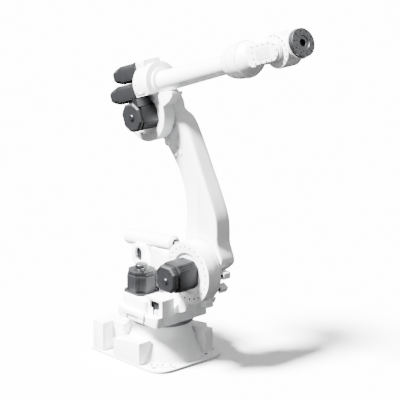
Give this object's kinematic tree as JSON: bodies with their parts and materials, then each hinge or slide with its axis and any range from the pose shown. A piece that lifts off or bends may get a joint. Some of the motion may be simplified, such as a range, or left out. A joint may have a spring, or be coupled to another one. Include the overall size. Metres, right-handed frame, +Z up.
{
  "type": "industrial robot arm",
  "caption": "Floor-standing six-axis industrial robot arm with slewing base, leaning link arm, long forearm, wrist and round tool flange.",
  "frame": {"origin": "on the floor, where the vertical slewing axis meets the foot's underside", "axes": "+Z up along the slewing axis, +X forward, the way the arm reaches, +Y to the robot's left"},
  "size_m": [2.0204, 0.668, 2.7102],
  "materials": {
    "white_paint": "satin white enamel",
    "motor_black": "matte black",
    "connector_black": "moulded",
    "machined_steel": "machined",
    "gear_steel": "ground"
  },
  "bodies": {
    "base": {"base_casting": "white_paint", "base_left_box": "white_paint", "base_rear_box": "white_paint", "base_rear_bridge": "white_paint", "base_right_box": "white_paint", "connector_panel": "white_paint", "slew_ring": "gear_steel", "stop_block": "white_paint"},
    "turntable": {"balancer_bracket": "white_paint", "balancer_cap": "white_paint", "balancer_cylinder": "white_paint", "j1_connector": "connector_black", "j1_motor": "motor_black", "j1_motor_cap": "motor_black", "j2_connector": "connector_black", "j2_motor": "motor_black", "j2_motor_cap": "motor_black", "shoulder_housing": "white_paint", "side_tabs": "white_paint", "stop_lug": "white_paint", "turntable_casting": "white_paint"},
    "balancer_rod": {"balancer_rod": "machined_steel"},
    "link_arm": {"link_arm_casting": "white_paint", "link_lower_cover": "white_paint", "link_lower_lug": "white_paint", "link_upper_cover": "white_paint", "link_upper_lug": "white_paint", "shoulder_gear": "gear_steel", "elbow_gear": "gear_steel"},
    "upper_arm": {"elbow_casting": "white_paint", "forearm_bell": "white_paint", "forearm_tube": "white_paint", "forearm_wrist_seat": "white_paint", "j3_motor": "motor_black", "j3_motor_box": "connector_black", "lower_wrist_motor": "motor_black", "lower_wrist_motor_cap": "motor_black", "upper_wrist_motor": "motor_black", "upper_wrist_motor_cap": "motor_black"},
    "wrist": {"wrist_body": "white_paint", "wrist_cover_left": "white_paint", "wrist_cover_right": "white_paint", "wrist_drum": "white_paint"},
    "hand": {"hand_drum": "white_paint", "hand_ring": "white_paint"},
    "flange": {"tool_flange": "machined_steel"}
  },
  "joints": [
    {"name": "j1_slew", "type": "hinge", "parent": "base", "child": "turntable", "pos_m": [0, 0, 0.32], "axis": [0, 0, 1], "range_deg": [-180, 180]},
    {"name": "j2_shoulder", "type": "hinge", "parent": "turntable", "child": "link_arm", "pos_m": [0.375, 0, 0.741], "axis": [0, 1, 0], "range_deg": [-36, 99]},
    {"name": "balancer_slide", "type": "slide", "parent": "turntable", "child": "balancer_rod", "axis": [0.9916, 0, 0.1293], "range_m": [-0.09748, 0.2672]},
    {"name": "j3_elbow", "type": "hinge", "parent": "link_arm", "child": "upper_arm", "pos_m": [-0.10484, 0, 1.84089], "axis": [0, -1, 0], "range_deg": [-35, 150]},
    {"name": "j4_roll", "type": "hinge", "parent": "upper_arm", "child": "wrist", "pos_m": [0.77109, 0, 2.35442], "axis": [0.9373, 0, 0.3486], "range_deg": [-200, 200]},
    {"name": "j5_bend", "type": "hinge", "parent": "wrist", "child": "hand", "pos_m": [1.25379, 0, 2.53394], "axis": [0, -1, 0], "range_deg": [-120, 120]},
    {"name": "j6_flange", "type": "hinge", "parent": "hand", "child": "flange", "pos_m": [1.44593, 0, 2.61868], "axis": [0.915, 0, 0.4035], "range_deg": [-360, 360]}
  ],
  "couplings": [
    {"joint": "balancer_slide", "follows": "j2_shoulder", "m_per_rad": 0.15435}
  ]
}
